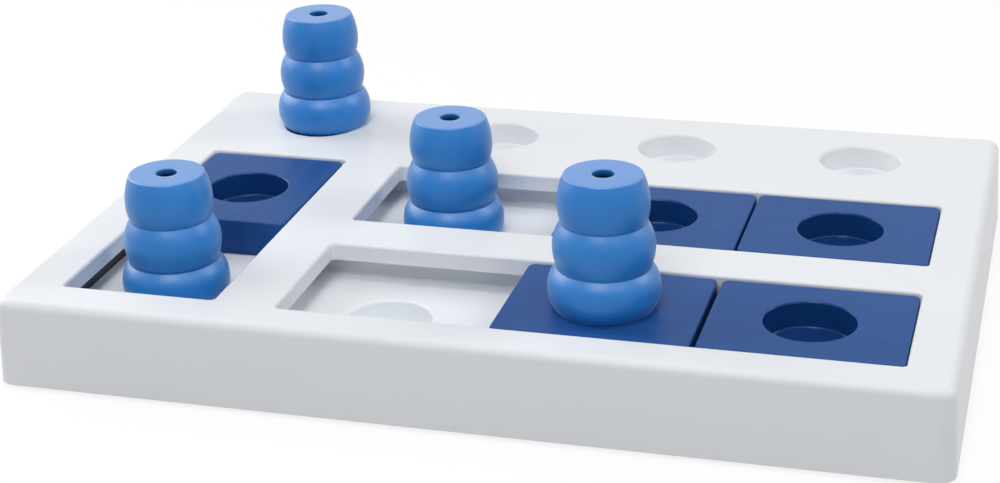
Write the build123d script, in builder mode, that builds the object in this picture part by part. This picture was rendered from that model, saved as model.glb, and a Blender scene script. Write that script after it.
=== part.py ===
from build123d import *
import os

os.makedirs("parts", exist_ok=True)

# A feeding puzzle for dogs: a flat board with three sunk tracks, five sliding
# covers with treat cups, and four hollow cones that stand over treat cups.
# Millimetres. Origin on the floor under the middle of the board, +X along its
# length to the right, +Y to the back, +Z up.

# Board
board_length = 400
board_depth = 280
board_bottom = 2
board_top = 40
side_lean = 2
corner_radius = 8
top_edge_radius = 4
shell_wall = 2.5

# Tracks: windows in the top, with lips that hang down round them
track_width = 68.7
short_track_length = 167.2
long_track_length = 256.6
left_track = (-140.9, -34.2)
rear_track = (49.8, 11.5)
front_track = (49.8, -85.4)
window_corner = 2
window_edge_radius = 1.2
lip_depth = 7.6
lip_wall = 2.2
floor_depth = 17.4

# Channels under the lips, where the runners of the sliders go: how far they
# reach beyond the windows on each side
left_channel = {"left": 7.6, "right": 7.6, "front": 4.15, "back": 4.15}
long_channel = {"left": 9.5, "right": 4.15, "front": 5.5, "back": 9.5}
channel_corner = 3
channel_wall = 2

# Treat cups
cup_radius = 18.6
cup_depth = 11.4
cup_rim_radius = 1.5
cup_floor_radius = 0.8
cup_draft = 0.3
cup_wall = 2.2
rear_cup_y = 96.1
rear_cup_x = (-135.8, -41.9, 47.6, 135.8)
floor_cup_radius = 18.7
floor_cup_depth = 11
floor_cup_rim_radius = 1.4
floor_cup_from_end = 36.8
left_cup_from_end = 36.9

# Base tray
tray_gap = 0.4
tray_wall = 2.2
flange_thickness = 3
pocket_margin = 0.8
pocket_corner = 6
channel_gap = 0.3

# Sliders
slider_length = 81.5
slider_gap = 1.1
slider_below_top = 0.7
slider_above_floor = 0.5
slider_corner = 3
slider_edge_radius = 0.8
slider_wall = 2.2
slider_cup_radius = 18.7
slider_cup_depth = 11.5
slider_cup_rim_radius = 1
runner_length = 75
runner_reach = 4.5
runner_thickness = 4.4
running_gap = 0.4
slider_rib = 1.6

# Cones
cone_height = 57.4
cone_skin = 2
cone_hole_radius = 4.55
crown_rounding = 1.1
spigot_radius = 16
spigot_depth = 3

# Screws and feet
boss_radius = 3.5
screw_shank_radius = 1.45
screw_shank_length = 11.5
screw_head_radius = 2.9
screw_head_height = 1.9
pilot_radius = 1.5
pilot_depth = 12.5
pad_radius = 4.2
pad_top = 7
edge_seat_depth = 2.4
hole_radius = 1.7
screw_tube_radius = 5
screw_tube_bottom = 6
cross_length = 3.4
cross_width = 0.8
cross_depth = 1
head_recess_radius = 3.2
foot_radius = 8
foot_recess = 1
foot_gap = 0.2
post_radius = 10
post_bore_radius = 6
foot_edge_radius = 0.6

# Heights that follow
plate_under = board_top - shell_wall
lip_bottom = board_top - lip_depth
floor_top = board_top - floor_depth
floor_under = floor_top - tray_wall
flange_top = board_bottom + flange_thickness
slider_top = board_top - slider_below_top
slider_bottom = floor_top + slider_above_floor
slider_width = track_width - 2 * slider_gap

# Plan positions that follow
# Each track: its middle, its length, its turn from the board's length, its channel
tracks = (
    (left_track, short_track_length, 90, left_channel),
    (rear_track, long_track_length, 0, long_channel),
    (front_track, long_track_length, 0, long_channel),
)
rear_cups = [(x, rear_cup_y) for x in rear_cup_x]
long_step = long_track_length / 2 - floor_cup_from_end
left_step = short_track_length / 2 - left_cup_from_end
floor_cups = [
    (x_middle + n * long_step, y)
    for x_middle, y in (rear_track, front_track)
    for n in (-1, 0, 1)
]
floor_cups += [(left_track[0], left_track[1] + n * left_step) for n in (-1, 1)]

side_screws = [(side * 190.8, y) for side in (-1, 1) for y in (-95, 5, 105)]
end_screws = [(x, y) for x in (-125, 0, 125) for y in (-131.9, 131.9)]
middle_screws = [(x, -35) for x in (-92.7, 5, 95)]
edge_screws = side_screws + end_screws
post_feet = [(x, -113.5) for x in (-171, 5, 171)] + [(x, -37) for x in (-171, 171)]
rear_feet = [(x, 118.5) for x in (-171, 0, 171)]


# The free space of a treat cup that opens at z = 0, with a soft rim
def cup_space(mouth_radius, depth, rim):
    with BuildPart() as space:
        with BuildSketch(Plane.XZ):
            with BuildLine():
                Line((0, 0), (mouth_radius + rim, 0))
                RadiusArc((mouth_radius + rim, 0), (mouth_radius, -rim), -rim)
                Line((mouth_radius, -rim), (mouth_radius - cup_draft, -depth))
                Line((mouth_radius - cup_draft, -depth), (0, -depth))
                Line((0, -depth), (0, 0))
            make_face()
        revolve(axis=Axis.Z)
        fillet(space.edges().group_by(Axis.Z)[0], cup_floor_radius)
    return space.part


shell_cup_space = cup_space(cup_radius, cup_depth, cup_rim_radius)
floor_cup_space = cup_space(floor_cup_radius, floor_cup_depth, floor_cup_rim_radius)
slider_cup_space = cup_space(slider_cup_radius, slider_cup_depth, slider_cup_rim_radius)


# Upper shell: leaning outer walls, windows with lips, four cups, screw bosses
with BuildPart() as upper_shell:
    with BuildSketch(Plane.XY.offset(board_bottom)):
        RectangleRounded(board_length, board_depth, corner_radius)
    with BuildSketch(Plane.XY.offset(board_top)):
        RectangleRounded(
            board_length - 2 * side_lean,
            board_depth - 2 * side_lean,
            corner_radius - side_lean,
        )
    loft(ruled=True)
    fillet(upper_shell.faces().sort_by(Axis.Z)[-1].edges(), top_edge_radius)
    with BuildSketch(Plane.XY.offset(board_bottom)):
        RectangleRounded(
            board_length - 2 * shell_wall,
            board_depth - 2 * shell_wall,
            corner_radius - shell_wall,
        )
    with BuildSketch(Plane.XY.offset(plate_under)):
        RectangleRounded(
            board_length - 2 * (shell_wall + side_lean),
            board_depth - 2 * (shell_wall + side_lean),
            corner_radius - shell_wall - side_lean,
        )
    loft(ruled=True, mode=Mode.SUBTRACT)
    for middle, length, turn, _ in tracks:
        with BuildSketch(Plane.XY.offset(lip_bottom)):
            with Locations(middle):
                RectangleRounded(
                    length + 2 * lip_wall,
                    track_width + 2 * lip_wall,
                    window_corner + lip_wall,
                    rotation=turn,
                )
        extrude(amount=lip_depth - shell_wall / 2)
    with Locations(*[(x, y, board_top - shell_wall / 2) for x, y in rear_cups]):
        Cylinder(
            cup_radius + cup_wall,
            cup_depth + cup_wall - shell_wall / 2,
            align=(Align.CENTER, Align.CENTER, Align.MAX),
        )
    with BuildSketch(Plane.XY.offset(pad_top)):
        with Locations(*edge_screws):
            Circle(boss_radius)
    extrude(amount=plate_under - pad_top)
    with BuildSketch(Plane.XY.offset(floor_top)):
        with Locations(*middle_screws):
            Circle(boss_radius)
    extrude(amount=plate_under - floor_top)
    for middle, length, turn, _ in tracks:
        with BuildSketch(Plane.XY.offset(board_top)):
            with Locations(middle):
                RectangleRounded(length, track_width, window_corner, rotation=turn)
        extrude(amount=-lip_depth, mode=Mode.SUBTRACT)
    window_edges = upper_shell.faces().sort_by(Axis.Z)[-1].inner_wires().edges()
    fillet(window_edges, window_edge_radius)
    with Locations(*[(x, y, board_top) for x, y in rear_cups]):
        add(shell_cup_space, mode=Mode.SUBTRACT)
    with BuildSketch(Plane.XY.offset(pad_top)):
        with Locations(*edge_screws):
            Circle(pilot_radius)
    extrude(amount=pilot_depth, mode=Mode.SUBTRACT)
    with BuildSketch(Plane.XY.offset(floor_top)):
        with Locations(*middle_screws):
            Circle(pilot_radius)
    extrude(amount=pilot_depth, mode=Mode.SUBTRACT)


# Base tray: flange, pocket with the track floors, channel walls, floor cups
edge_step = channel_wall + pocket_margin
pocket_left = left_track[0] - track_width / 2 - left_channel["left"] - edge_step
pocket_right = rear_track[0] + long_track_length / 2 + long_channel["right"] + edge_step
pocket_front = front_track[1] - track_width / 2 - long_channel["front"] - edge_step
pocket_back = rear_track[1] + track_width / 2 + long_channel["back"] + edge_step
pocket_size = (pocket_right - pocket_left, pocket_back - pocket_front)
pocket_middle = ((pocket_right + pocket_left) / 2, (pocket_back + pocket_front) / 2)


# Middle and size in plan of the channel of one track
def channel_plan(middle, length, turn, reach):
    along_x, along_y = (track_width, length) if turn else (length, track_width)
    x = middle[0] + (reach["right"] - reach["left"]) / 2
    y = middle[1] + (reach["back"] - reach["front"]) / 2
    size = (along_x + reach["left"] + reach["right"], along_y + reach["front"] + reach["back"])
    return (x, y), size


with BuildPart() as base_tray:
    with BuildSketch(Plane.XY.offset(board_bottom)):
        RectangleRounded(
            board_length - 2 * (shell_wall + tray_gap),
            board_depth - 2 * (shell_wall + tray_gap),
            corner_radius - shell_wall - tray_gap,
        )
    extrude(amount=flange_thickness)
    with BuildSketch(Plane.XY.offset(board_bottom)):
        with Locations(pocket_middle):
            RectangleRounded(*pocket_size, pocket_corner)
    extrude(amount=floor_top - board_bottom)
    with BuildSketch(Plane.XY.offset(board_bottom)):
        with Locations(pocket_middle):
            RectangleRounded(
                pocket_size[0] - 2 * tray_wall,
                pocket_size[1] - 2 * tray_wall,
                pocket_corner - tray_wall,
            )
    extrude(amount=floor_under - board_bottom, mode=Mode.SUBTRACT)
    for track in tracks:
        channel_middle, channel_size = channel_plan(*track)
        with BuildSketch(Plane.XY.offset(floor_under)):
            with Locations(channel_middle):
                RectangleRounded(
                    channel_size[0] + 2 * channel_wall,
                    channel_size[1] + 2 * channel_wall,
                    channel_corner + channel_wall,
                )
                RectangleRounded(*channel_size, channel_corner, mode=Mode.SUBTRACT)
        extrude(amount=plate_under - channel_gap - floor_under)
    with Locations(*[(x, y, floor_top) for x, y in floor_cups]):
        Cylinder(
            floor_cup_radius + cup_wall,
            floor_cup_depth + cup_wall,
            align=(Align.CENTER, Align.CENTER, Align.MAX),
        )
    with BuildSketch(Plane.XY.offset(board_bottom)):
        with Locations(*post_feet):
            Circle(post_radius)
    extrude(amount=floor_under - board_bottom)
    with BuildSketch(Plane.XY.offset(screw_tube_bottom)):
        with Locations(*middle_screws):
            Circle(screw_tube_radius)
    extrude(amount=floor_under - screw_tube_bottom)
    with BuildSketch(Plane.XY.offset(flange_top)):
        with Locations(*edge_screws):
            Circle(pad_radius)
    extrude(amount=pad_top - flange_top)
    with Locations(*[(x, y, floor_top) for x, y in floor_cups]):
        add(floor_cup_space, mode=Mode.SUBTRACT)
    with BuildSketch(Plane.XY.offset(board_bottom)):
        with Locations(*post_feet):
            Circle(post_bore_radius)
    extrude(amount=floor_under - board_bottom, mode=Mode.SUBTRACT)
    with BuildSketch(Plane.XY.offset(board_bottom)):
        with Locations(*post_feet, *rear_feet):
            Circle(foot_radius + foot_gap)
    extrude(amount=foot_recess, mode=Mode.SUBTRACT)
    with BuildSketch(Plane.XY.offset(board_bottom)):
        with Locations(*edge_screws):
            Circle(head_recess_radius)
    extrude(amount=edge_seat_depth, mode=Mode.SUBTRACT)
    with BuildSketch(Plane.XY.offset(screw_tube_bottom)):
        with Locations(*middle_screws):
            Circle(head_recess_radius)
    extrude(amount=floor_under - screw_tube_bottom, mode=Mode.SUBTRACT)
    with BuildSketch(Plane.XY.offset(board_bottom)):
        with Locations(*edge_screws, *middle_screws):
            Circle(hole_radius)
    extrude(amount=floor_top - board_bottom, mode=Mode.SUBTRACT)


# Slider: a block that is hollow from below, a cup, cross ribs and side runners
runner_half = track_width / 2 + runner_reach
runner_top = lip_bottom - running_gap
slider_height = slider_top - slider_bottom

with BuildPart() as slider:
    with BuildSketch(Plane.XY.offset(slider_bottom)):
        RectangleRounded(slider_length, slider_width, slider_corner)
    extrude(amount=slider_height)
    fillet(slider.faces().sort_by(Axis.Z)[-1].edges(), slider_edge_radius)
    with BuildSketch(Plane.XY.offset(runner_top)):
        Rectangle(runner_length, 2 * runner_half)
    extrude(amount=-runner_thickness)
    with BuildSketch(Plane.XY.offset(slider_bottom)):
        RectangleRounded(
            slider_length - 2 * slider_wall,
            slider_width - 2 * slider_wall,
            slider_corner - slider_wall,
        )
    extrude(amount=slider_height - slider_wall, mode=Mode.SUBTRACT)
    with BuildSketch(Plane.XY.offset(slider_bottom + slider_wall)):
        Rectangle(slider_length - slider_wall, slider_rib)
        Rectangle(slider_rib, slider_width - slider_wall)
    extrude(amount=slider_height - 1.5 * slider_wall)
    with Locations((0, 0, slider_top - slider_wall / 2)):
        Cylinder(
            slider_cup_radius + cup_wall,
            slider_cup_depth + cup_wall - slider_wall / 2,
            align=(Align.CENTER, Align.CENTER, Align.MAX),
        )
    with Locations((0, 0, slider_top)):
        add(slider_cup_space, mode=Mode.SUBTRACT)

slider_places = {
    "slider_front_middle": (53.2, front_track[1] - 0.6, 0),
    "slider_front_right": (136.9, front_track[1] - 0.6, 0),
    "slider_rear_middle": (54.2, rear_track[1] - 0.6, 0),
    "slider_rear_right": (136.9, rear_track[1], 0),
    "slider_left": (-140.9, 6.7, 90),
}


# Cone: three bulges between creases, a flat top with a hole, hollow, and a
# short open spigot under the base that drops into a treat cup
base_edge = (21.6, 1.2)
low_bulge = (23.3, 8)
low_crease = (19.3, 18.1)
middle_bulge = (21.1, 27.2)
high_crease = (17.3, 38)
high_bulge = (18.9, 45.5)
crease_step = 0.6
crown = (17, 56.5)
top_rim_radius = 16.1


def side_of_cone(skin):
    base = (base_edge[0] - skin, max(base_edge[1], skin))
    low = (low_crease[0] - skin, low_crease[1])
    low_out = (low_crease[0] + crease_step - skin, low_crease[1])
    high = (high_crease[0] - skin, high_crease[1])
    high_out = (high_crease[0] + crease_step - skin, high_crease[1])
    top = (crown[0] - skin, min(crown[1], cone_height - skin))
    ThreePointArc(base, (low_bulge[0] - skin, low_bulge[1]), low)
    Line(low, low_out)
    ThreePointArc(low_out, (middle_bulge[0] - skin, middle_bulge[1]), high)
    Line(high, high_out)
    ThreePointArc(high_out, (high_bulge[0] - skin, high_bulge[1]), top)
    return base, top


with BuildPart() as cone:
    with BuildSketch(Plane.XZ):
        with BuildLine():
            base, top = side_of_cone(0)
            Polyline((0, -spigot_depth), (spigot_radius, -spigot_depth), (spigot_radius, 0))
            Line((spigot_radius, 0), (base[0] - base[1], 0))
            TangentArc((base[0] - base[1], 0), base, tangent=(1, 0))
            RadiusArc(top, (top_rim_radius, cone_height), -crown_rounding)
            Polyline((top_rim_radius, cone_height), (0, cone_height), (0, -spigot_depth))
        make_face()
    revolve(axis=Axis.Z)
    with BuildSketch(Plane.XZ):
        with BuildLine():
            base, top = side_of_cone(cone_skin)
            spigot_bore = spigot_radius - cone_skin
            Polyline((0, -spigot_depth), (spigot_bore, -spigot_depth), (spigot_bore, base[1]), base)
            Polyline(top, (0, top[1]), (0, -spigot_depth))
        make_face()
    revolve(axis=Axis.Z, mode=Mode.SUBTRACT)
    Cylinder(cone_hole_radius, 2 * cone_height, mode=Mode.SUBTRACT)

cone_places = {
    "cone_left": (-140, -80.9, floor_top),
    "cone_rear": (-135.4, 98.6, board_top),
    "cone_middle": (-40.7, 9.9, floor_top),
    "cone_front": (53.2, -87.5, slider_top),
}


# Rubber foot, seated in a shallow recess
with BuildPart() as foot:
    with BuildSketch():
        Circle(foot_radius)
    extrude(amount=board_bottom + foot_recess)
    fillet(foot.edges().group_by(Axis.Z)[0], foot_edge_radius)


# Self-tapping screw, head down, with the underside of its head at z = 0
with BuildPart() as screw:
    with BuildSketch(Plane.XY.offset(-screw_head_height)):
        Circle(screw_head_radius)
    extrude(amount=screw_head_height)
    fillet(screw.edges().group_by(Axis.Z)[0], screw_head_height / 3)
    with BuildSketch():
        Circle(screw_shank_radius)
    extrude(amount=screw_shank_length)
    with BuildSketch(Plane.XY.offset(-screw_head_height)):
        Rectangle(cross_length, cross_width)
        Rectangle(cross_width, cross_length)
    extrude(amount=cross_depth, mode=Mode.SUBTRACT)

edge_seat = board_bottom + edge_seat_depth
screw_places = [(x, y, edge_seat) for x, y in edge_screws]
screw_places += [(x, y, floor_under) for x, y in middle_screws]

with BuildPart() as shell_screws:
    with Locations(*screw_places):
        add(screw.part)


# Hand-in: each piece in its own file
def save(piece, name):
    piece.label = name
    export_step(piece, f"parts/{name}.step")


save(upper_shell.part, "upper_shell")
save(base_tray.part, "base_tray")
save(shell_screws.part, "shell_screws")
for name, (x, y, turn) in slider_places.items():
    save(slider.part.moved(Location((x, y, 0), (0, 0, turn))), name)
for name, place in cone_places.items():
    save(cone.part.moved(Location(place)), name)
for number, (x, y) in enumerate(post_feet + rear_feet, start=1):
    save(foot.part.moved(Location((x, y, 0))), f"foot_{number}")
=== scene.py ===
import math
import bpy
import numpy as np
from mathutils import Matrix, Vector


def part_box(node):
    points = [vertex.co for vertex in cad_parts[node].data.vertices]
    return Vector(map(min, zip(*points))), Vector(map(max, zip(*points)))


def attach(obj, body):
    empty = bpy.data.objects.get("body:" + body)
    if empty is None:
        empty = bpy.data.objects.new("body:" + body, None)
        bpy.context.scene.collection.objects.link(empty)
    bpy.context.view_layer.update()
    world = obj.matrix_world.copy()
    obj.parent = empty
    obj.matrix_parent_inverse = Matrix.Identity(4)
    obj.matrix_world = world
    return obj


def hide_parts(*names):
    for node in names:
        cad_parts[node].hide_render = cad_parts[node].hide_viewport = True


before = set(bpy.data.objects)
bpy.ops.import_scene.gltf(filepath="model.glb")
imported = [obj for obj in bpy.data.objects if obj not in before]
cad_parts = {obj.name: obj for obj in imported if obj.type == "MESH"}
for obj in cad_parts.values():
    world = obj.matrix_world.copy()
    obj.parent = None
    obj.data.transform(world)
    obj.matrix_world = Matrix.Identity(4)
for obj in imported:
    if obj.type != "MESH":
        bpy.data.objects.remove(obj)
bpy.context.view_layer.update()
print("frame loaded:", len(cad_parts), "nodes")

mm = 0.001


# Shader maths: an output socket that takes part in Python expressions
class Wire:
    def __init__(self, graph, socket):
        self.graph = graph
        self.socket = socket

    # another output of the same node, by its name or number
    def output(self, name):
        return Wire(self.graph, self.socket.node.outputs[name])

    def maths(self, operation, *values):
        return self.graph.node("ShaderNodeMath", {"operation": operation}, dict(enumerate(values)))

    def __add__(self, other):
        return self.maths("ADD", self, other)

    def __sub__(self, other):
        return self.maths("SUBTRACT", self, other)

    def __rsub__(self, other):
        return self.maths("SUBTRACT", other, self)

    def __mul__(self, other):
        return self.maths("MULTIPLY", self, other)

    def __pow__(self, other):
        return self.maths("POWER", self, other)

    def __abs__(self):
        return self.maths("ABSOLUTE", self)

    def __neg__(self):
        return self.maths("MULTIPLY", self, -1)

    __radd__ = __add__
    __rmul__ = __mul__


class Graph:
    def __init__(self, owner):
        owner.use_nodes = True
        self.tree = owner.node_tree
        self.tree.nodes.clear()

    # One node: its type, its settings, then the values or links of its sockets
    def node(self, kind, settings=None, sockets=None, out=0):
        made = self.tree.nodes.new(kind)
        for name, value in (settings or {}).items():
            setattr(made, name, value)
        for name, value in (sockets or {}).items():
            if isinstance(value, Wire):
                self.tree.links.new(value.socket, made.inputs[name])
            else:
                made.inputs[name].default_value = value
        return Wire(self, made.outputs[out]) if len(made.outputs) else None

    def place(self):
        return self.node("ShaderNodeTexCoord", out="Object")

    def parts(self, vector):
        return self.node("ShaderNodeSeparateXYZ", {}, {"Vector": vector})

    def stretched(self, place, scale):
        sockets = {"Vector": place, "Scale": scale}
        return self.node("ShaderNodeMapping", {"vector_type": "POINT"}, sockets)

    def noise(self, place, scale, detail=2, roughness=0.5):
        sockets = {"Vector": place, "Scale": scale, "Detail": detail, "Roughness": roughness}
        return self.node("ShaderNodeTexNoise", {"noise_dimensions": "3D"}, sockets)

    # 0 below the low value, 1 above the high one, and a soft step between them
    def ramp(self, value, low, high):
        sockets = {"Value": value, "From Min": low, "From Max": high}
        return self.node("ShaderNodeMapRange", {"interpolation_type": "SMOOTHSTEP"}, sockets)

    def blend(self, factor, first, second):
        sockets = {0: factor, 6: first, 7: second}
        return self.node("ShaderNodeMix", {"data_type": "RGBA"}, sockets, out=2)

    def bump(self, height, depth, under=None):
        sockets = {"Height": height, "Distance": depth, "Strength": 1.0}
        if under:
            sockets["Normal"] = under
        return self.node("ShaderNodeBump", {}, sockets)

    # Bumps laid one over the other, each a noise of its own scale, detail, roughness and depth
    def relief(self, place, layers):
        under = None
        for scale, detail, roughness, depth in layers:
            under = self.bump(self.noise(place, scale, detail, roughness), depth, under)
        return under

    def finish(self, sockets):
        shader = self.node("ShaderNodeBsdfPrincipled", {}, sockets)
        self.node("ShaderNodeOutputMaterial", {}, {"Surface": shader})


def rgba(colour, share=1.0):
    return (colour[0] * share, colour[1] * share, colour[2] * share, 1.0)


# Mesh making: rings of points, one ring after the other along a profile
def ringFaces(rings, startPole=None, endPole=None):
    # a grid of quads between neighbouring rings; the profile closes on itself,
    # or ends in a fan of triangles at a pole point at each end
    count, sides = rings.shape[:2]
    index = np.arange(count * sides).reshape(count, sides)
    onward = np.roll(index, -1, axis=1)
    last = count if startPole is None else count - 1
    upper = np.roll(index, -1, axis=0)[:last]
    upperOnward = np.roll(onward, -1, axis=0)[:last]
    quads = np.stack([index[:last], onward[:last], upperOnward, upper], axis=-1)
    points, faces = rings.reshape(-1, 3), [quads.reshape(-1, 4)]
    if startPole is not None:
        first, final = count * sides, count * sides + 1
        points = np.vstack([points, startPole, endPole])
        faces.append(np.column_stack([np.full(sides, first), onward[0], index[0]]))
        faces.append(np.column_stack([np.full(sides, final), index[-1], onward[-1]]))
    return points, faces


# One piece from several parts, each its points and its tables of faces
def makePiece(name, *parts):
    points = np.vstack([partPoints for partPoints, tables in parts])
    faces, start = [], 0
    for partPoints, tables in parts:
        for table in tables:
            faces += (table + start).tolist()
        start += len(partPoints)
    mesh = bpy.data.meshes.new(name)
    mesh.from_pydata(points.tolist(), [], faces)
    mesh.shade_smooth()
    piece = bpy.data.objects.new(name, mesh)
    bpy.context.scene.collection.objects.link(piece)
    return piece


# Plan coordinates of every point as a UV map, turned about a middle point
def planMap(piece, middle, turn):
    mesh = piece.data
    points = np.empty(len(mesh.vertices) * 3)
    mesh.vertices.foreach_get("co", points)
    flat = points.reshape(-1, 3)[:, :2] - np.array(middle[:2])
    along = flat @ np.array([math.cos(turn), math.sin(turn)])
    across = flat @ np.array([-math.sin(turn), math.cos(turn)])
    corners = np.empty(len(mesh.loops), int)
    mesh.loops.foreach_get("vertex_index", corners)
    layer = mesh.uv_layers.new(name="plan")
    layer.uv.foreach_set("vector", np.column_stack([along, across])[corners].ravel())


# Quarter round from one tangent point to the other, as (offset, height) pairs
def quarter(start, corner, end, steps=6):
    # start to end along an ellipse whose tangents meet at the corner
    turn = np.linspace(0, math.pi / 2, steps)[:, None]
    start, corner, end = np.array(start), np.array(corner), np.array(end)
    return corner + (start - corner) * (1 - np.sin(turn)) + (end - corner) * (1 - np.cos(turn))


# Cones: three bulges over each other, hollow, with a hole in the flat top
coneForm = {
    "nodes": ("cone_left", "cone_rear", "cone_middle", "cone_front"),
    "height": 57.4,
    "skin": 2.0,
    "bulges": (
        # foot radius and height, widest radius and height, top radius and height, fullness
        (20.9, 0.7, 23.3, 7.7, 19.2, 18.6, 2.6),
        (19.5, 18.6, 21.1, 27.0, 17.3, 37.8, 2.0),
        (17.7, 37.8, 18.9, 44.8, 16.45, 56.8, 2.1),
    ),
    "topRadius": 15.75,
    "rimLean": 0.1,
    "soleEdge": 0.7,
    "holeRadius": 4.55,
    "holeEdge": 0.35,
    "collarDepth": 3.0,
    "collarWall": 1.4,
    "ceilingReach": 12.0,
    "spigotRadius": 16.0,
    "spigotDepth": 3.0,
    "spigotEdge": 0.4,
    "spigotFillet": 0.3,
    "sides": 160,
    "seamTurn": {"cone_front": 226, "cone_rear": 200, "cone_left": 285, "cone_middle": 61},
}


def bulgeSide(form, steps=14):
    # the radius falls away from its widest height: below it as the square of the distance,
    # above it as the power called fullness, where the rows lie closer towards the top
    footR, footZ, wideR, wideZ, topR, topZ, fullness = form
    share = np.linspace(0, 1, steps)
    closer = share ** 0.8
    below = (wideR - (wideR - footR) * (1 - share) ** 2, footZ + (wideZ - footZ) * share)
    above = (wideR - (wideR - topR) * closer ** fullness, wideZ + (topZ - wideZ) * closer)
    return np.vstack([np.column_stack(below), np.column_stack(above)[1:]])


def coneProfile(form):
    # radius and height up the outside, over the rim and disc, down the hole and its collar,
    # down the inside at one skin from the outside, and round the spigot
    outside = np.vstack([bulgeSide(bulge) for bulge in form["bulges"]])
    height, topR, skin = form["height"], form["topRadius"], form["skin"]
    crown, foot, edge = outside[-1], outside[0], form["soleEdge"]
    sole = quarter((foot[0] - edge, 0), (foot[0], 0), foot, 5)
    rim = quarter(crown, (crown[0] - form["rimLean"], height), (topR, height))
    hole, soft = form["holeRadius"], form["holeEdge"]
    disc = np.column_stack([np.linspace(topR, hole + soft, 6), np.full(6, height)])
    lip = quarter((hole + soft, height), (hole, height), (hole, height - soft), 4)
    collar, under = hole + form["collarWall"], height - form["collarDepth"]
    ceiling = np.array([
        (hole, under), (collar, under), (collar, height - skin),
        (form["ceilingReach"], height - skin),
    ])
    inside = outside[::-1] - np.array([skin, 0])
    inside[:, 1] = np.clip(inside[:, 1], skin, height - skin)
    spigot, depth = form["spigotRadius"], form["spigotDepth"]
    slant, fillet = form["spigotEdge"], form["spigotFillet"]
    spigotWall = np.array([
        (spigot - skin, skin), (spigot - skin, -depth), (spigot - skin + slant, -depth),
        (spigot - slant, -depth), (spigot, -depth + slant), (spigot, -fillet), (spigot + fillet, 0),
    ])
    return np.vstack([sole[:-1], outside, rim[1:], disc[1:-1], lip, ceiling, inside, spigotWall])


def makeCone(node):
    # the profile turned about the upright line through the middle of the node's box
    low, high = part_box(node)
    middle = ((low.x + high.x) / 2, (low.y + high.y) / 2, high.z - coneForm["height"] * mm)
    profile = coneProfile(coneForm) * mm
    turn = np.linspace(0, 2 * math.pi, coneForm["sides"], endpoint=False)
    radius, height = profile[:, :1], profile[:, 1:]
    rings = np.stack([
        middle[0] + radius * np.cos(turn),
        middle[1] + radius * np.sin(turn),
        middle[2] + height + 0 * turn,
    ], axis=-1)
    cone = makePiece(node + "_moulding", ringFaces(rings))
    planMap(cone, middle, math.radians(coneForm["seamTurn"][node]))
    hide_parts(node)
    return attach(cone, node)


# Sliders: a block with a soft edge, a round cup, and a runner along each side
sliderForm = {
    # each node, and whether its long side lies across the board
    "nodes": {
        "slider_front_middle": False,
        "slider_front_right": False,
        "slider_rear_middle": False,
        "slider_rear_right": False,
        "slider_left": True,
    },
    "bodyWidth": 66.5,
    "corner": 3.0,
    "edge": 0.7,
    "wall": 2.2,
    "cupRadius": 18.7,
    "cupDepth": 11.5,
    "cupDraft": 0.3,
    "cupRim": 0.9,
    "cupFloorRound": 0.9,
    "cupFloorRows": (5, 10, 14),
    "deckMargin": 0.5,
    "footEdge": 0.3,
    "footRows": (3.0, 0.4),
    "runnerLength": 75.0,
    "runnerTopBelow": 7.3,
    "runnerThickness": 4.4,
    "rib": 1.6,
    "ribTopBelow": 1.5,
    "cupOverlap": 0.5,
    "wallOverlap": 1.2,
    "barEdge": 0.3,
    "cornerSteps": 7,
    "sideSteps": 14,
}


def roundedRectangle(halfLength, halfWidth, corner, inset, cornerSteps, sideSteps):
    # arcs about the four corner centres, with the straight sides cut into steps
    turn = np.linspace(0, math.pi / 2, cornerSteps)
    inset = np.reshape(inset, (-1, 1))
    runs = []
    for quarterTurn in range(4):
        signX = 1 if quarterTurn in (0, 3) else -1
        signY = 1 if quarterTurn in (0, 1) else -1
        angle = turn + quarterTurn * math.pi / 2
        x = signX * (halfLength - corner) + (corner - inset) * np.cos(angle)
        y = signY * (halfWidth - corner) + (corner - inset) * np.sin(angle)
        runs.append(np.stack([x, y], axis=-1))
    outline = []
    share = np.linspace(0, 1, sideSteps + 1)[1:-1][:, None]
    for arc, following in zip(runs, runs[1:] + runs[:1]):
        start, end = arc[:, -1:], following[:, :1]
        outline += [arc, start + (end - start) * share]
    return np.concatenate(outline, axis=1)


def bar(low, high, edge):
    # a rounded section carried from one end to the other, closed by flat ends
    low, high = np.array(low), np.array(high)
    middle, half = (low + high) / 2, (high - low) / 2
    inset = np.array([edge, 0, 0, edge])
    section = roundedRectangle(half[1], half[2], 2 * edge, inset, 4, 2)
    along = np.array([-half[0], -half[0] + edge, half[0] - edge, half[0]])
    along = np.broadcast_to(along[:, None, None], section.shape[:2] + (1,))
    rings = np.concatenate([along, section], axis=-1)
    ends = np.array([[-half[0], 0, 0], [half[0], 0, 0]])
    points, faces = ringFaces(rings, ends[0], ends[1])
    return points + middle, faces


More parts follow.
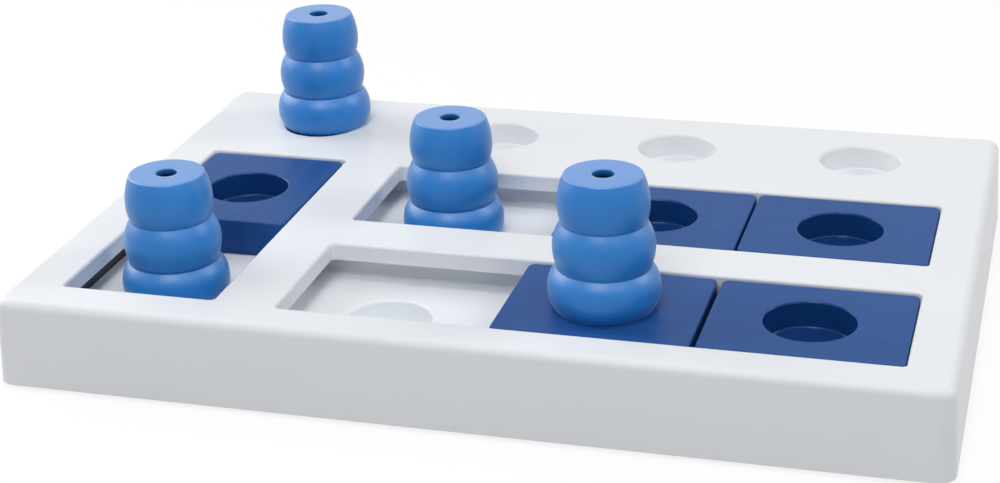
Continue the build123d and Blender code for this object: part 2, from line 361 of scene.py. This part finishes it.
def sliderProfile(form, top, bottom):
    # rows of circle radius, share of the block's outline, its inset, and height
    floor, radius, edge = top - form["cupDepth"], form["cupRadius"], form["edge"]
    low, soft = radius - form["cupDraft"], form["cupFloorRound"]
    rim, wall, foot = form["cupRim"], form["wall"], form["footEdge"]
    floorRound = quarter((low - soft, floor), (low, floor), (low, floor + soft), 7)
    rimRound = quarter((radius, top - rim), (radius, top), (radius + rim, top))
    rows = [(r, 0, 0, floor) for r in form["cupFloorRows"]]
    rows += [(r, 0, 0, z) for r, z in np.vstack([floorRound, rimRound])]
    deck, margin = radius + rim + form["deckMargin"], edge + form["deckMargin"]
    rows += [(deck, share, margin, top) for share in (0, 0.2, 0.4, 0.6, 0.8, 1)]
    rows += [(0, 1, inset, z) for inset, z in quarter((edge, top), (0, top), (0, top - edge))]
    rows += [(0, 1, 0, bottom + rise) for rise in form["footRows"]]
    rows += [(0, 1, foot, bottom), (0, 1, wall - foot, bottom)]
    rows += [(0, 1, wall, bottom + foot), (0, 1, wall, top - wall)]
    outer = radius + wall
    rows += [(outer, share, wall, top - wall) for share in (0.66, 0.33, 0)]
    rows += [(outer, 0, 0, floor - wall), (outer / 2, 0, 0, floor - wall)]
    return np.array(rows)


def sliderBlock(form, halfLength, top, bottom):
    # each ring is a blend of a circle round the cup and the block's inset outline
    profile = sliderProfile(form, top, bottom)
    steps = (form["cornerSteps"], form["sideSteps"])
    halfWidth, inset = form["bodyWidth"] / 2, profile[:, 2]
    outline = roundedRectangle(halfLength, halfWidth, form["corner"], inset, *steps)
    angle = np.arctan2(outline[-1, :, 1], outline[-1, :, 0])
    circle = profile[:, :1, None] * np.stack([np.cos(angle), np.sin(angle)], axis=-1)
    share = profile[:, 1, None, None]
    flat = circle * (1 - share) + outline * share
    height = np.broadcast_to(profile[:, 3, None, None], flat.shape[:2] + (1,))
    rings = np.concatenate([flat, height], axis=-1)[:, ::-1]
    floor = top - form["cupDepth"]
    return ringFaces(rings, (0, 0, floor), (0, 0, floor - form["wall"]))


def sliderBars(form, side, halfLength, reach, top, bottom):
    # on one side: the runner, and a rib from the cup to the end wall and to the side wall
    halfWidth, halfRunner, rib = form["bodyWidth"] / 2, form["runnerLength"] / 2, form["rib"] / 2
    runnerTop = top - form["runnerTopBelow"]
    runnerLow = runnerTop - form["runnerThickness"]
    ribLow, ribTop = bottom + form["wall"], top - form["ribTopBelow"]
    root, edge = form["wallOverlap"], form["barEdge"]
    cup = form["cupRadius"] + form["wall"] - form["cupOverlap"]
    out = sorted((side * (halfWidth - root), side * reach))
    end = sorted((side * cup, side * (halfLength - root)))
    flank = sorted((side * cup, side * (halfWidth - root)))
    return [
        bar((-halfRunner, out[0], runnerLow), (halfRunner, out[1], runnerTop), edge),
        bar((end[0], -rib, ribLow), (end[1], rib, ribTop), edge),
        bar((-rib, flank[0], ribLow), (rib, flank[1], ribTop), edge),
    ]


def makeSlider(node, turned):
    # block and bars about the origin, turned if need be, then moved to the node's box
    form = sliderForm
    low, high = np.array(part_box(node)) / mm
    size = (high - low)[:2][::-1] if turned else (high - low)[:2]
    halfLength, reach, top, bottom = size[0] / 2, size[1] / 2, high[2], low[2]
    parts = [sliderBlock(form, halfLength, top, bottom)]
    for side in (-1, 1):
        parts += sliderBars(form, side, halfLength, reach, top, bottom)
    middle = np.append((low + high)[:2] / 2, 0)
    turn = math.radians(90 if turned else 0)
    cos, sin = math.cos(turn), math.sin(turn)
    swing = np.array([[cos, sin, 0], [-sin, cos, 0], [0, 0, 1]])
    placed = [((points @ swing + middle) * mm, faces) for points, faces in parts]
    slider = makePiece(node + "_moulding", *placed)
    planMap(slider, middle * mm, turn)
    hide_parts(node)
    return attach(slider, node)


for node in coneForm["nodes"]:
    makeCone(node)
print("cones made")

for node, turned in sliderForm["nodes"].items():
    makeSlider(node, turned)
print("sliders made")


# Finishes: gloss is the lowest roughness, and a swing is what a pattern adds to it;
# patches and specks are a noise scale and its swing; clouds, wisps and streaks are noise scales;
# a relief is rows of noise scale, detail, roughness, and depth in metres
shellFinish = {
    "colour": (0.80, 0.82, 0.85),
    "shade": 0.965,
    "clouds": 9,
    "gloss": 0.33,
    "patches": (60, 0.06),
    "specks": (900, 0.04),
    "gleam": 0.33,
    "relief": ((22, 1, 0.5, 0.00012), (1500, 2, 0.6, 0.000012)),
}
trayFinish = {
    **shellFinish,
    # a lighter white than the shell's: painted light that brightens the floors down in the tracks
    "colour": (0.85, 0.875, 0.905),
    "shade": 0.96,
    "gloss": 0.37,
    # painted shade in the deep slot beside the left track: where it starts and how it fades, and
    # the dark colour painted there
    "paintedShadeSide": (0.1816, 0.1820),
    "paintedShadeFoot": (0.0222, 0.0225),
    "paintedShadeColour": (0.075, 0.080, 0.095),
}
sliderFinish = {
    "colour": (0.007, 0.056, 0.212),
    "streak": (0.017, 0.080, 0.280),
    # the cup's own navy, painted darker as shade inside the recess
    "cupNavyWithPaintedShade": (0.006, 0.041, 0.168),
    "streaks": (4, 110, 1),
    "streakRange": (0.3, 0.7),
    "streakShare": 0.6,
    "clouds": 40,
    "cloudShare": 0.4,
    "gloss": 0.42,
    "streakSwing": 0.05,
    "specks": (300, 0.04),
    "polished": 0.13,
    "gleam": 0.21,
    "cupEdge": (0.0189, 0.0193),
    "sinkLine": 0.014,
    "sinkWidth": 0.0022,
    "sinkShare": 0.3,
    "relief": ((35, 1, 0.5, 0.00002), (900, 1, 0.5, 0.000006)),
}
coneFinish = {
    "colour": (0.013, 0.195, 0.58),
    "deep": (0.010, 0.175, 0.53),
    "clouds": 30,
    "cloudShare": 0.7,
    "wisps": 260,
    "wispShare": 0.3,
    "gloss": 0.34,
    "cloudSwing": 0.05,
    "specks": (800, 0.05),
    "gleam": 0.6,
    "haze": 0.2,
    "hazeRoughness": 0.35,
    "crownFacing": (0.25, 0.95),
    "crownRoughness": 0.46,
    "crownIndex": 1.6,
    # the weld line: half its width, where it starts, how level the face is, depth and colour
    "weldWidth": 0.00045,
    "weldStart": (0.004, 0.006),
    "weldFacing": (0.8, 0.95),
    "weldDepth": -0.00003,
    "weldShade": 0.7,
    "weldShare": 0.5,
    "relief": ((45, 1, 0.5, 0.00005), (900, 1, 0.5, 0.000006)),
}
rubberFinish = {
    "colour": (0.055, 0.055, 0.060),
    "shade": 1.3,
    "clouds": 120,
    "gloss": 0.67,
    "swing": 0.16,
    "relief": ((2200, 3, 0.7, 0.00003),),
}
steelFinish = {
    "colour": (0.60, 0.60, 0.62),
    "shade": 0.82,
    "clouds": 400,
    "gloss": 0.24,
    "swing": 0.16,
    "scratches": (400, 4000, 400),
    "scratchDepth": 0.00001,
}
plasticIndex = 1.46


def newMaterial(name):
    material = bpy.data.materials.new(name)
    return material, Graph(material)


def whitePlastic(name, form):
    # large soft clouds of shade, a finer cloud of gloss, and a spark-eroded grain; on the tray,
    # painted shade in the slot beside the left track
    material, graph = newMaterial(name)
    place = graph.place()
    cloud = graph.noise(place, form["clouds"], 3)
    colour = graph.blend(cloud, rgba(form["colour"]), rgba(form["colour"], form["shade"]))
    # a dark colour painted over the wall of the slot beside the left track: painted shade
    if "paintedShadeColour" in form:
        right = graph.parts(place)
        paintedShadeMask = graph.ramp(-right, *form["paintedShadeSide"]) * graph.ramp(right.output("Z"), *form["paintedShadeFoot"])
        colour = graph.blend(paintedShadeMask, colour, rgba(form["paintedShadeColour"]))
    (patches, patchSwing), (specks, speckSwing) = form["patches"], form["specks"]
    gloss = form["gloss"] + graph.noise(place, patches, 2) * patchSwing
    gloss = gloss + graph.noise(place, specks, 1) * speckSwing
    graph.finish({
        "Base Color": colour, "Roughness": gloss, "Normal": graph.relief(place, form["relief"]),
        "IOR": plasticIndex, "Specular IOR Level": form["gleam"],
    })
    return material


# Length along and across a moulding, from its plan map
def planOf(graph):
    plan = graph.node("ShaderNodeUVMap", {"uv_map": "plan"})
    along = graph.parts(plan)
    return plan, along, along.output("Y")


def sliderPlastic(form):
    # faint streaks of flow, soft sink marks over two ribs, and a polished cup whose navy is painted
    # darker as shade of the recess
    material, graph = newMaterial("slider_blue_plastic")
    place = graph.place()
    plan, along, across = planOf(graph)
    outside = graph.ramp((along * along + across * across) ** 0.5, *form["cupEdge"])
    streak = graph.noise(graph.stretched(plan, form["streaks"]), 1, 2)
    lines = graph.ramp(streak, *form["streakRange"])
    cloud = graph.noise(place, form["clouds"], 2)
    fromRib = abs(abs(across) - form["sinkLine"])
    sunk = (1 - graph.ramp(fromRib, 0, form["sinkWidth"])) * cloud
    paler = lines * form["streakShare"] + cloud * form["cloudShare"] - sunk * form["sinkShare"]
    top = graph.blend(paler, rgba(form["colour"]), rgba(form["streak"]))
    # inside the cup the colour is painted darker: painted shade of the recess
    colour = graph.blend(outside, rgba(form["cupNavyWithPaintedShade"]), top)
    specks, speckSwing = form["specks"]
    satin = form["gloss"] + lines * form["streakSwing"] + graph.noise(place, specks, 1) * speckSwing
    gloss = satin * outside + (1 - outside) * form["polished"]
    graph.finish({
        "Base Color": colour, "Roughness": gloss, "Normal": graph.relief(place, form["relief"]),
        "IOR": plasticIndex, "Specular IOR Level": form["gleam"],
    })
    return material


def conePlastic(form):
    # satin moulded plastic with a fine weld line on one side of the top
    material, graph = newMaterial("cone_blue_plastic")
    place = graph.place()
    along, across = planOf(graph)[1:]
    cloud, wisp = graph.noise(place, form["clouds"], 3), graph.noise(place, form["wisps"], 2)
    deeper = cloud * form["cloudShare"] + wisp * form["wispShare"]
    colour = graph.blend(deeper, rgba(form["colour"]), rgba(form["deep"]))
    facing = graph.parts(graph.node("ShaderNodeTexCoord", out="Normal")).output("Z")
    weld = 1 - graph.ramp(abs(across), 0, form["weldWidth"])
    weld = weld * graph.ramp(along, *form["weldStart"]) * graph.ramp(facing, *form["weldFacing"])
    colour = graph.blend(weld * form["weldShare"], colour, rgba(form["deep"], form["weldShade"]))
    crown = graph.ramp(facing, *form["crownFacing"])
    specks, speckSwing = form["specks"]
    gloss = form["gloss"] + cloud * form["cloudSwing"] + graph.noise(place, specks, 1) * speckSwing
    line = graph.bump(weld, form["weldDepth"], graph.relief(place, form["relief"]))
    graph.finish({
        "Base Color": colour, "Roughness": gloss, "Normal": line, "IOR": plasticIndex,
        "Specular IOR Level": form["gleam"], "Coat Weight": crown,
        "Coat Roughness": form["crownRoughness"], "Coat IOR": form["crownIndex"],
        "Sheen Weight": form["haze"], "Sheen Roughness": form["hazeRoughness"],
    })
    return material


def rubber(form):
    # soft clouds of shade and gloss over fine pores
    material, graph = newMaterial("foot_rubber_matt")
    place = graph.place()
    cloud = graph.noise(place, form["clouds"], 3)
    colour = graph.blend(cloud, rgba(form["colour"]), rgba(form["colour"], form["shade"]))
    gloss = form["gloss"] + cloud * form["swing"]
    pores = graph.relief(place, form["relief"])
    graph.finish({"Base Color": colour, "Roughness": gloss, "Normal": pores})
    return material


def steel(form):
    # soft clouds of shade and gloss over fine scratches
    material, graph = newMaterial("screw_zinc_plate")
    place = graph.place()
    cloud = graph.noise(place, form["clouds"], 3)
    colour = graph.blend(cloud, rgba(form["colour"]), rgba(form["colour"], form["shade"]))
    gloss = form["gloss"] + cloud * form["swing"]
    scratches = graph.noise(graph.stretched(place, form["scratches"]), 1, 3)
    fine = graph.bump(scratches, form["scratchDepth"])
    graph.finish({"Base Color": colour, "Roughness": gloss, "Normal": fine, "Metallic": 1.0})
    return material


def dress(thing, material):
    if not thing.material_slots:
        thing.data.materials.append(material)
    for place in thing.material_slots:
        place.material = material


# Each finish goes on every mesh whose name starts so
finishes = {
    "upper_shell": whitePlastic("white_shell_plastic", shellFinish),
    "base_tray": whitePlastic("white_tray_plastic", trayFinish),
    "shell_screws": steel(steelFinish),
    "foot_": rubber(rubberFinish),
    "slider_": sliderPlastic(sliderFinish),
    "cone_": conePlastic(coneFinish),
}
for thing in [thing for thing in bpy.data.objects if thing.type == "MESH"]:
    for start, material in finishes.items():
        if thing.name.startswith(start):
            dress(thing, material)
print("finishes given")


# Studio: a pale floor, a white world, soft lamps, and the camera
studioForm = {
    "skyLight": 0.2,
    "floorReach": 4.0,
    "floorColour": (0.62, 0.62, 0.62),
    "floorShade": 0.985,
    "floorGrain": 40,
    "floorShadow": 0.16,
    "white": (1, 1, 1, 1),
    "lamps": {
        # place, aim, width, height, watts
        "overhead": ((0.03, -0.19, 1.59), (0, 0, 0), 0.4, 0.4, 4.9),
        "front": ((0, -1.2, 1.35), (0, 0, 0), 0.8, 0.6, 10.6),
        "frontRight": ((1.0, -0.9, 1.2), (0, 0, 0), 0.6, 0.6, 3.1),
        "right": ((1.2, 0.5, 0.87), (0, 0, 0.05), 0.5, 0.7, 5.6),
        "left": ((-1.22, 0.32, 0.73), (0, 0, 0.05), 1.1, 1.0, 11.2),
    },
}
cameraForm = {
    "place": (0.2308096, -0.8452917, 0.3985386),
    "turn": (66.995, 1.667, 15.570),
    "lens": 75.36,
    "sensor": 36.0,
    "clipStart": 0.01,
}


def rayShare(graph):
    # 1 for rays that come straight from the camera or by way of gloss or glass
    light = graph.node("ShaderNodeLightPath")
    straight = light.output("Is Camera Ray") + light.output("Is Glossy Ray")
    settings = {"operation": "ADD", "use_clamp": True}
    sockets = {0: straight, 1: light.output("Is Transmission Ray")}
    return graph.node("ShaderNodeMath", settings, sockets)


def makeWorld(form):
    world = bpy.data.worlds.new("studio")
    bpy.context.scene.world = world
    graph = Graph(world)
    sockets = {"Value": rayShare(graph), "To Min": form["skyLight"], "To Max": 1.0}
    strength = graph.node("ShaderNodeMapRange", {}, sockets)
    sockets = {"Color": form["white"], "Strength": strength}
    sky = graph.node("ShaderNodeBackground", {}, sockets)
    graph.node("ShaderNodeOutputWorld", {}, {"Surface": sky})


def makeFloor(form):
    # light falls on plain paper; the camera sees a white glow with a share of the shadow
    reach, white = form["floorReach"], form["white"]
    corners = [(-reach, -reach, 0), (reach, -reach, 0), (reach, reach, 0), (-reach, reach, 0)]
    mesh = bpy.data.meshes.new("floor")
    mesh.from_pydata(corners, [], [(0, 1, 2, 3)])
    floor = bpy.data.objects.new("floor", mesh)
    bpy.context.scene.collection.objects.link(floor)
    material, graph = newMaterial("floor_paper")
    grain = graph.noise(graph.place(), form["floorGrain"], 3)
    colours = rgba(form["floorColour"]), rgba(form["floorColour"], form["floorShade"])
    plain = graph.node("ShaderNodeBsdfDiffuse", {}, {"Color": graph.blend(grain, *colours)})
    bright = graph.node("ShaderNodeBsdfDiffuse", {}, {"Color": white})
    glow = graph.node("ShaderNodeEmission", {}, {"Color": white, "Strength": 1.0})
    shown = graph.node("ShaderNodeMixShader", {}, {0: form["floorShadow"], 1: glow, 2: bright})
    sockets = {0: rayShare(graph), 1: plain, 2: shown}
    surface = graph.node("ShaderNodeMixShader", {}, sockets)
    graph.node("ShaderNodeOutputMaterial", {}, {"Surface": surface})
    dress(floor, material)


def makeLamp(name, place, aim, width, height, watts):
    lamp = bpy.data.lights.new(name, "AREA")
    lamp.shape = "RECTANGLE"
    lamp.size, lamp.size_y, lamp.energy = width, height, watts
    holder = bpy.data.objects.new("lamp_" + name, lamp)
    bpy.context.scene.collection.objects.link(holder)
    holder.location = place
    away = Vector(place) - Vector(aim)
    holder.rotation_euler = away.to_track_quat("Z", "Y").to_euler()


def makeCamera(form):
    lens = bpy.data.cameras.new("camera")
    lens.lens, lens.sensor_width, lens.sensor_fit = form["lens"], form["sensor"], "HORIZONTAL"
    lens.clip_start = form["clipStart"]
    camera = bpy.data.objects.new("camera", lens)
    bpy.context.scene.collection.objects.link(camera)
    camera.location = form["place"]
    camera.rotation_euler = [math.radians(angle) for angle in form["turn"]]
    bpy.context.scene.camera = camera


makeWorld(studioForm)
makeFloor(studioForm)
for name, values in studioForm["lamps"].items():
    makeLamp(name, *values)
makeCamera(cameraForm)
bpy.context.scene.view_settings.view_transform = "Standard"
print("studio ready")
